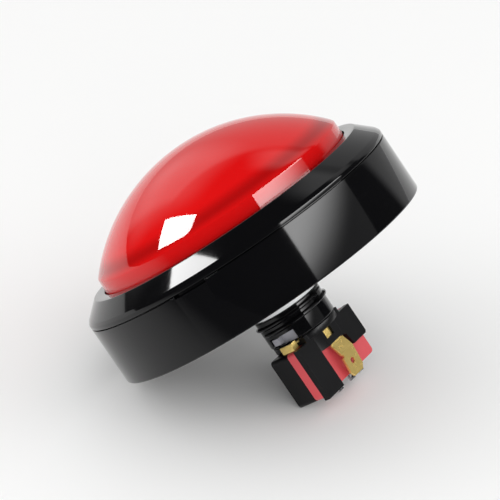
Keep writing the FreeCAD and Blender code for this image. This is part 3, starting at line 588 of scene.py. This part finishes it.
# %% [markdown]
# ## Turning on a lathe
# Round mouldings are made the way a lathe makes them: a section of radius and height pairs is swung
# round the axis. A corner can carry a radius, which becomes a short arc, so edges catch the light as
# moulded edges do. A fine step round the axis keeps highlights smooth.

# %% Rounding a section's corners
STEPS = 256
TINY = 1e-7


def soften(corners, arc_steps=5):
    """Replace each corner (radius, height, edge radius) by a small arc."""
    points = []
    count = len(corners)
    for index, (r, z, edge) in enumerate(corners):
        here = Vector((r, z))
        if not edge:
            points.append(here)
            continue
        before = Vector(corners[index - 1][:2]) - here
        after = Vector(corners[(index + 1) % count][:2]) - here
        angle = before.angle(after)
        reach = min(edge / math.tan(angle / 2), 0.45 * before.length, 0.45 * after.length)
        edge = reach * math.tan(angle / 2)
        center = here + (before.normalized() + after.normalized()).normalized() * edge / math.sin(angle / 2)
        first = here + before.normalized() * reach - center
        last = here + after.normalized() * reach - center
        swing = first.angle_signed(last)
        for step in range(arc_steps + 1):
            points.append(center + Matrix.Rotation(-swing * step / arc_steps, 2) @ first)
    return points


sample = soften([(2, 0, 0.5), (2, 1, 0), (1, 1, 0), (1, 0, 0)])
print("one rounded corner becomes", len(sample) - 3, "points")


# %% Turning a section
def lathe(name, points, steps=STEPS):
    """Swing a closed section round the Z axis."""
    shape = bmesh.new()
    rings = []
    for r, z in points:
        if r < TINY:
            rings.append([shape.verts.new((0, 0, z))])
            continue
        rings.append([shape.verts.new((r * math.cos(2 * math.pi * k / steps),
                                       r * math.sin(2 * math.pi * k / steps), z)) for k in range(steps)])
    for index, ring in enumerate(rings):
        following = rings[(index + 1) % len(rings)]
        if len(ring) == 1 and len(following) == 1:
            continue
        for k in range(steps):
            after = (k + 1) % steps
            if len(ring) == 1:
                shape.faces.new((ring[0], following[after], following[k]))
            elif len(following) == 1:
                shape.faces.new((ring[k], ring[after], following[0]))
            else:
                shape.faces.new((ring[k], ring[after], following[after], following[k]))
    bmesh.ops.recalc_face_normals(shape, faces=shape.faces)
    return finish_mesh(name, shape)


SHARP = 32                       # degrees: steeper edges are shaded crisp


def finish_mesh(name, shape, sharp=SHARP):
    """Turn a bmesh into a smooth-shaded object whose steeper edges stay sharp."""
    mesh = bpy.data.meshes.new(name)
    shape.to_mesh(mesh)
    shape.free()
    mesh.polygons.foreach_set("use_smooth", [True] * len(mesh.polygons))
    mesh.set_sharp_from_angle(angle=math.radians(sharp))
    return link(bpy.data.objects.new(name, mesh))


print("turned parts have %d steps" % STEPS)

# %% [markdown]
# ## Cutting and joining
# Slots, windows and hooks break a turned part's symmetry. Each is a block of a ring, which is then cut out
# of the part or joined to it with an exact boolean. The boolean is applied at once, so the result is a plain
# mesh, and a last helper gives every finished piece its material and its place in the frame.

# %% Ring blocks, booleans and dressing
def sector(name, inner, outer, low, high, middle, arc, steps=24):
    """A closed block: part of a ring, between two radii and two heights."""
    shape = bmesh.new()
    columns = []
    for step in range(steps + 1):
        angle = math.radians(middle - arc / 2 + arc * step / steps)
        c, s = math.cos(angle), math.sin(angle)
        columns.append([shape.verts.new((r * c, r * s, z))
                        for r, z in ((inner, low), (outer, low), (outer, high), (inner, high))])
    for first, second in zip(columns, columns[1:]):
        for k in range(4):
            shape.faces.new((first[k], first[(k + 1) % 4], second[(k + 1) % 4], second[k]))
    shape.faces.new(columns[0])
    shape.faces.new(reversed(columns[-1]))
    bmesh.ops.recalc_face_normals(shape, faces=shape.faces)
    return finish_mesh(name, shape)


def combine(target, tools, operation):
    """Apply a boolean with each tool, then remove the tools."""
    for tool in tools:
        modifier = target.modifiers.new("combine", "BOOLEAN")
        modifier.operation = operation
        modifier.solver = "EXACT"
        modifier.object = tool
    settle(target)
    for tool in tools:
        bpy.data.objects.remove(tool)
    target.data.set_sharp_from_angle(angle=math.radians(SHARP))


def settle(item):
    """Apply an object's modifiers to its mesh."""
    bpy.context.view_layer.update()
    evaluated = item.evaluated_get(bpy.context.evaluated_depsgraph_get())
    mesh = bpy.data.meshes.new_from_object(evaluated)
    item.modifiers.clear()
    item.data = mesh


def dress(item, finish, slot, body, *replaced):
    """Give a piece its finish, its body and the CAD nodes that it stands for; the slot argument is not used.
    """
    item.data.materials.clear()
    item.data.materials.append(finish)
    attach(item, body)
    if replaced:
        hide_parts(*replaced)
    return item


print("cutting helpers ready")

# %% [markdown]
# ## The housing
# Skirt, floor, hub and stem are one moulding. The section is turned, the screw ridge is swept round the
# stem as a real helix with run-out ends, and the bayonet slots, hook windows and the pry slot are cut.

# %% Housing
FLOOR_LOW = 3.0 * MM
FLOOR_TOP = 5.5 * MM
HUB_RADIUS = 15.0 * MM
SKIRT_INNER = SKIRT_RADIUS - 2.4 * MM
SPIGOT_RADIUS = SKIRT_RADIUS - 1.2 * MM
SPIGOT_TOP = SEAM_HEIGHT + 1.5 * MM
THREAD_TOP = -7.3 * MM
STOP_TOP = 13.0 * MM
GUIDE_BORE = 7.4 * MM
GUIDE_LOW = -1.5 * MM
STOP_OUTER = 36.0 * MM
STOP_INNER = 34.0 * MM
LOCATING_RADIUS = 0.2 * MM
FINE = 0.25 * MM
SOFT = 0.45 * MM

housing = lathe("housing", soften([
    (STEM_BORE, -STEM_DEPTH, FINE), (STEM_RADIUS, -STEM_DEPTH, SOFT),
    (STEM_RADIUS, THREAD_TOP, FINE), (NECK_RADIUS, THREAD_TOP, 0),
    (NECK_RADIUS, 0, FINE), (HUB_RADIUS, 0, SOFT), (HUB_RADIUS, FLOOR_LOW, SOFT),
    (SKIRT_INNER, FLOOR_LOW, SOFT), (SKIRT_INNER, 0, FINE), (SKIRT_RADIUS, 0, SOFT),
    (SKIRT_RADIUS, SEAM_HEIGHT, LOCATING_RADIUS), (SPIGOT_RADIUS, SEAM_HEIGHT, 0),
    (SPIGOT_RADIUS, SPIGOT_TOP, LOCATING_RADIUS), (SKIRT_INNER, SPIGOT_TOP, LOCATING_RADIUS),
    (SKIRT_INNER, FLOOR_TOP, SOFT), (STOP_OUTER, FLOOR_TOP, SOFT), (STOP_OUTER, STOP_TOP, FINE),
    (STOP_INNER, STOP_TOP, FINE), (STOP_INNER, FLOOR_TOP, SOFT), (GUIDE_BORE, FLOOR_TOP, SOFT),
    (GUIDE_BORE, GUIDE_LOW, 0), (STEM_BORE, GUIDE_LOW, 0)]))
print("turned housing:", len(housing.data.polygons), "faces")


# %% Screw ridge
THREAD_CREST = 11.6 * MM
PITCH = 2.15 * MM
RIDGE_TOP = -8.35 * MM
RIDGE_TURNS = 1.5
RIDGE_ROOT_DIP = 0.3 * MM        # how far its foot reaches into the stem
CREST_EASE = 0.08 * MM
RUN_OUTS = 12                    # the ends taper over a twelfth of the length


def helical_ridge(name, root, crest, pitch, top, turns, start_turn, per_turn=96):
    """A closed trapezoid swept along a helix, tapering away at both ends."""
    shape = bmesh.new()
    count = int(turns * per_turn)
    half_crest, half_foot = 0.12 * pitch, 0.42 * pitch
    foot = root - RIDGE_ROOT_DIP
    sections = []
    for step in range(count + 1):
        share = step / count
        angle = 2 * math.pi * (start_turn + turns * share)
        c, s = math.cos(angle), math.sin(angle)
        z = top - turns * pitch * (1 - share)
        ends = min(1.0, RUN_OUTS * share, RUN_OUTS * (1 - share))
        reach = foot + (crest - foot) * (0.25 + 0.75 * ends)
        section = [(foot, z - half_foot), (reach - CREST_EASE, z - half_crest - 0.05 * MM),
                   (reach, z - half_crest + 0.06 * MM), (reach, z + half_crest - 0.06 * MM),
                   (reach - CREST_EASE, z + half_crest + 0.05 * MM), (foot, z + half_foot)]
        sections.append([shape.verts.new((r * c, r * s, height)) for r, height in section])
    for first, second in zip(sections, sections[1:]):
        for k in range(6):
            shape.faces.new((first[k], first[(k + 1) % 6], second[(k + 1) % 6], second[k]))
    shape.faces.new(sections[0])
    shape.faces.new(reversed(sections[-1]))
    bmesh.ops.recalc_face_normals(shape, faces=shape.faces)
    return finish_mesh(name, shape)


ridge = helical_ridge("ridge", STEM_RADIUS, THREAD_CREST, PITCH, RIDGE_TOP, RIDGE_TURNS, 0.5)
print("ridge of %.1f turns, %.2f mm pitch" % (RIDGE_TURNS, PITCH / MM))

# %% Ribs under the skirt
RIB_COUNT = 8
RIB_THICK = 1.6 * MM
RIB_TALL = 2.6 * MM
RIB_MIDDLE = 2.1 * MM
RIB_OVERLAP = 0.8 * MM
RIB_EDGE = 0.2 * MM
ribs = []
for number in range(RIB_COUNT):
    turn = Matrix.Rotation(2 * math.pi * number / RIB_COUNT, 4, "Z")
    shape = bmesh.new()
    bmesh.ops.create_cube(shape, size=1)
    bmesh.ops.scale(shape, vec=(SKIRT_INNER - HUB_RADIUS + RIB_OVERLAP, RIB_THICK, RIB_TALL),
                    verts=shape.verts)
    bmesh.ops.translate(shape, vec=((SKIRT_INNER + HUB_RADIUS) / 2, 0, RIB_MIDDLE), verts=shape.verts)
    bmesh.ops.bevel(shape, geom=shape.edges[:], offset=RIB_EDGE, segments=2, affect="EDGES")
    bmesh.ops.transform(shape, matrix=turn, verts=shape.verts)
    ribs.append(finish_mesh("rib", shape))
combine(housing, [ridge] + ribs, "UNION")
print("ribs:", RIB_COUNT)

# %% Slots, windows and the pry slot
LUG_LOW = -15.3 * MM
LUG_HIGH = -13.3 * MM
SLOT_GAP = 0.4 * MM
CUT_INNER = STEM_BORE - MM
CUT_OUTER = THREAD_CREST + 0.4 * MM
HALF_TWIST, FULL_TWIST = 15, 30
SLOT_ARC, ENTRY_ARC, HOOK_ARC = 52, 22, 12
HOOK_AZIMUTHS = (0, 90, 180, 270)
WINDOW_LOW, WINDOW_HIGH, WINDOW_DEPTH = 12.0 * MM, 14.1 * MM, 1.1 * MM
PRY_AZIMUTH, PRY_ARC = 247, 12
PRY_DEPTH, PRY_HEIGHT = 1.6 * MM, 0.8 * MM
cutters = []
for side in (0, 180):
    lug = HOLDER_TURN + LUG_SHIFT + side
    cutters.append(sector("slot", CUT_INNER, CUT_OUTER, LUG_LOW - SLOT_GAP, LUG_HIGH + SLOT_GAP,
                          lug + HALF_TWIST, SLOT_ARC))
    cutters.append(sector("entry", CUT_INNER, CUT_OUTER, -STEM_DEPTH - MM, LUG_LOW,
                          lug + FULL_TWIST, ENTRY_ARC))
for azimuth in HOOK_AZIMUTHS:
    cutters.append(sector("window", SKIRT_INNER - MM, SKIRT_INNER + WINDOW_DEPTH, WINDOW_LOW, WINDOW_HIGH,
                          azimuth, HOOK_ARC))
cutters.append(sector("pry", SKIRT_RADIUS - PRY_DEPTH, SKIRT_RADIUS + MM, SEAM_HEIGHT - PRY_HEIGHT,
                      SEAM_HEIGHT + 0.2 * MM, PRY_AZIMUTH, PRY_ARC))
combine(housing, cutters, "DIFFERENCE")
dress(housing, BLACK_GLOSS, "black_gloss", "root", "base_shell")
print("housing faces:", len(housing.data.polygons))

# %% [markdown]
# ## The trim ring
# The ring shows three surfaces: a narrow flat round the dome, a wide cone and a rounded lip over the
# seam. The radii between them are what draws the thin bright lines on the real ring.

# %% Trim ring
FLAT_WIDTH = 3.4 * MM
LIP_RISE = 1.3 * MM
LIP_BULGE = 0.1 * MM             # how far the sharp section stands over the lip before it is rounded
FIT_GAP = 0.15 * MM
FLAT_EDGE = BEZEL_HOLE + FLAT_WIDTH
LIP_TOP = SEAM_HEIGHT + LIP_RISE
SHOULDER = SPIGOT_TOP + FIT_GAP
SLEEVE = SPIGOT_RADIUS + FIT_GAP
trim = lathe("trim_ring", soften([
    (SLEEVE, SEAM_HEIGHT + SEAM_GAP, 0), (SKIRT_RADIUS, SEAM_HEIGHT + SEAM_GAP, FINE),
    (SKIRT_RADIUS, LIP_TOP + LIP_BULGE, 0.9 * MM),
    (SKIRT_RADIUS - 0.75 * MM, LIP_TOP + 1.15 * MM, 0.5 * MM),
    (FLAT_EDGE + 0.1 * MM, BEZEL_TOP, 0.5 * MM), (BEZEL_HOLE, BEZEL_TOP, FINE),
    (BEZEL_HOLE, BEZEL_TOP - BEZEL_WALL, FINE), (FLAT_EDGE - 0.3 * MM, BEZEL_TOP - BEZEL_WALL, FINE),
    (SKIRT_INNER - 0.7 * MM, SHOULDER, FINE), (SLEEVE, SHOULDER, 0)]))
print("trim ring: flat %.1f mm wide, lip %.1f mm over the seam" % (FLAT_WIDTH / MM, LIP_RISE / MM))

# %% Snap hooks
HOOK_OUTER = SKIRT_INNER - FIT_GAP
HOOK_LOW = SEAM_HEIGHT + SEAM_GAP - 6 * MM
TONGUE_THICK, TONGUE_TALL = 1.5 * MM, 8.6 * MM
BARB_ROOT, BARB_REACH, BARB_TALL = 0.5 * MM, 0.8 * MM, 1.5 * MM
TONGUE_ARC = 10
hooks = []
for azimuth in HOOK_AZIMUTHS:
    hooks.append(sector("tongue", HOOK_OUTER - TONGUE_THICK, HOOK_OUTER, HOOK_LOW, HOOK_LOW + TONGUE_TALL,
                        azimuth, TONGUE_ARC))
    hooks.append(sector("barb", HOOK_OUTER - BARB_ROOT, HOOK_OUTER + BARB_REACH, HOOK_LOW,
                        HOOK_LOW + BARB_TALL, azimuth, TONGUE_ARC))
combine(trim, hooks, "UNION")
dress(trim, BLACK_GLOSS, "black_gloss", "root", "bezel_ring")
print("snap hooks:", len(HOOK_AZIMUTHS))

# %% [markdown]
# ## The dome
# The lens is a shallow cap of a sphere, a crisp corner and a band that dips into the ring. It is hollow, with
# a flange that the ring holds down. Its section is worked out point by point, evenly spaced in angle, because
# the bright window mirrored in the dome shows the least unevenness of the sphere.

# %% Dome
WALL = 2.4 * MM


def ball_height(r, radius):
    return DOME_CENTER + math.sqrt(radius * radius - r * r)


def arc_points(first, last, radius, count):
    """Points of a spherical section between two distances from the axis, evenly spaced in angle."""
    a0, a1 = math.asin(first / radius), math.asin(last / radius)
    angles = [a0 + (a1 - a0) * step / count for step in range(count + 1)]
    return [Vector((radius * math.sin(a), DOME_CENTER + radius * math.cos(a))) for a in angles]


BAND_CORNER = 40.52 * MM
CORNER_ROUND = 0.8 * MM
FLANGE_TOP = BEZEL_TOP - BEZEL_WALL - 0.3 * MM
FLANGE_THICK = 2 * MM
CORNER_HEIGHT = ball_height(BAND_CORNER, DOME_RADIUS)
section = arc_points(0, BAND_CORNER - CORNER_ROUND, DOME_RADIUS, 60)
section += [Vector((BAND_CORNER - 0.1 * MM, CORNER_HEIGHT + 0.05 * MM)),
            Vector((BAND_CORNER, CORNER_HEIGHT - 0.2 * MM)),
            Vector((BAND_CORNER + 0.02 * MM, CORNER_HEIGHT - 0.5 * MM)),
            Vector((BAND_RADIUS - 0.1 * MM, FLANGE_TOP)), Vector((FLANGE_RADIUS, FLANGE_TOP)),
            Vector((FLANGE_RADIUS, FLANGE_TOP - FLANGE_THICK)),
            Vector((BAND_RADIUS, FLANGE_TOP - FLANGE_THICK)),
            Vector((BAND_RADIUS, DOME_FOOT)), Vector((BAND_RADIUS - WALL, DOME_FOOT))]
section += reversed(arc_points(0, BAND_RADIUS - WALL, DOME_RADIUS - WALL, 48))
dome = lathe("dome", section)
dress(dome, RED_LENS, "red_lens", "plunger", "dome_lens")
print("dome corner %.2f mm above the ring" % ((CORNER_HEIGHT - BEZEL_TOP) / MM))

# %% [markdown]
# ## The return spring
# A compression spring is wire wound on a helix whose end turns close up and lie flat. A tube is swept along
# that line. It belongs to the root body and stays put as the dome goes down.

# %% Return spring
spring_low, spring_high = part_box("return_spring")
WIRE = 0.6 * MM
TURNS = 5.5
CLOSED_TURN = 0.7
COIL_RADIUS = spring_high[0] - WIRE


def coil_height(turn):
    """Height of the wire's middle: flat for the end turns and steady in between."""
    low, high = spring_low[2] + WIRE, spring_high[2] - WIRE
    share = (turn - CLOSED_TURN) / (TURNS - 2 * CLOSED_TURN)
    share = min(max(share, 0.0), 1.0)
    eased = share * share * (3 - 2 * share)
    return low + (high - low) * eased


def wind(name, per_turn=48, around=10):
    """Sweep a round wire along the coil's line and close its two cut ends."""
    shape = bmesh.new()
    count = int(TURNS * per_turn)
    upward = Vector((0, 0, 1))
    rings = []
    for step in range(count + 1):
        turn = TURNS * step / count
        angle = 2 * math.pi * turn
        middle = Vector((COIL_RADIUS * math.cos(angle), COIL_RADIUS * math.sin(angle), coil_height(turn)))
        outward = Vector((math.cos(angle), math.sin(angle), 0))
        rings.append([shape.verts.new(middle + WIRE * (math.cos(a) * outward + math.sin(a) * upward))
                      for a in (2 * math.pi * k / around for k in range(around))])
    for first, second in zip(rings, rings[1:]):
        for k in range(around):
            shape.faces.new((first[k], first[(k + 1) % around], second[(k + 1) % around], second[k]))
    shape.faces.new(rings[0])
    shape.faces.new(reversed(rings[-1]))
    bmesh.ops.recalc_face_normals(shape, faces=shape.faces)
    return finish_mesh(name, shape, sharp=50)


coil = wind("return_coil")
dress(coil, SPRING_STEEL, "spring_steel", "root", "return_spring")
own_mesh(coil)

# %% [markdown]
# ## Crisp CAD pieces
# The holder, the switch and the brass strips keep their CAD shapes. Moulded and stamped edges are never
# knife sharp, so each piece gets modifiers: a weld joins the facets, a planar clean-up takes out the lines
# between them, and a small bevel with hardened normals rounds the edges. The mesh itself isn't touched.

# %% Edge softening on CAD pieces
WELD_REACH = 0.002 * MM
FLAT_LIMIT, BEVEL_LIMIT = 1.5, 40    # degrees
EDGE_WIDTHS = {
    "switch_bracket": 0.22 * MM, "switch_base": 0.15 * MM, "switch_cover": 0.15 * MM,
    "lamp_tab_contact": 0.07 * MM, "lamp_clip_contact": 0.07 * MM, "lamp_socket": 0.12 * MM,
}


def soften_edges(name, width):
    """Round a CAD piece's edges with modifiers."""
    piece = nodes[name]
    weld = piece.modifiers.new("weld", "WELD")
    weld.merge_threshold = WELD_REACH
    flat = piece.modifiers.new("flat", "DECIMATE")
    flat.decimate_type = "DISSOLVE"
    flat.angle_limit = math.radians(FLAT_LIMIT)
    bevel = piece.modifiers.new("edge", "BEVEL")
    bevel.width = width
    bevel.segments = 2
    bevel.limit_method = "ANGLE"
    bevel.angle_limit = math.radians(BEVEL_LIMIT)
    bevel.harden_normals = True


for name, width in EDGE_WIDTHS.items():
    soften_edges(name, width)
print("softened:", ", ".join(EDGE_WIDTHS))
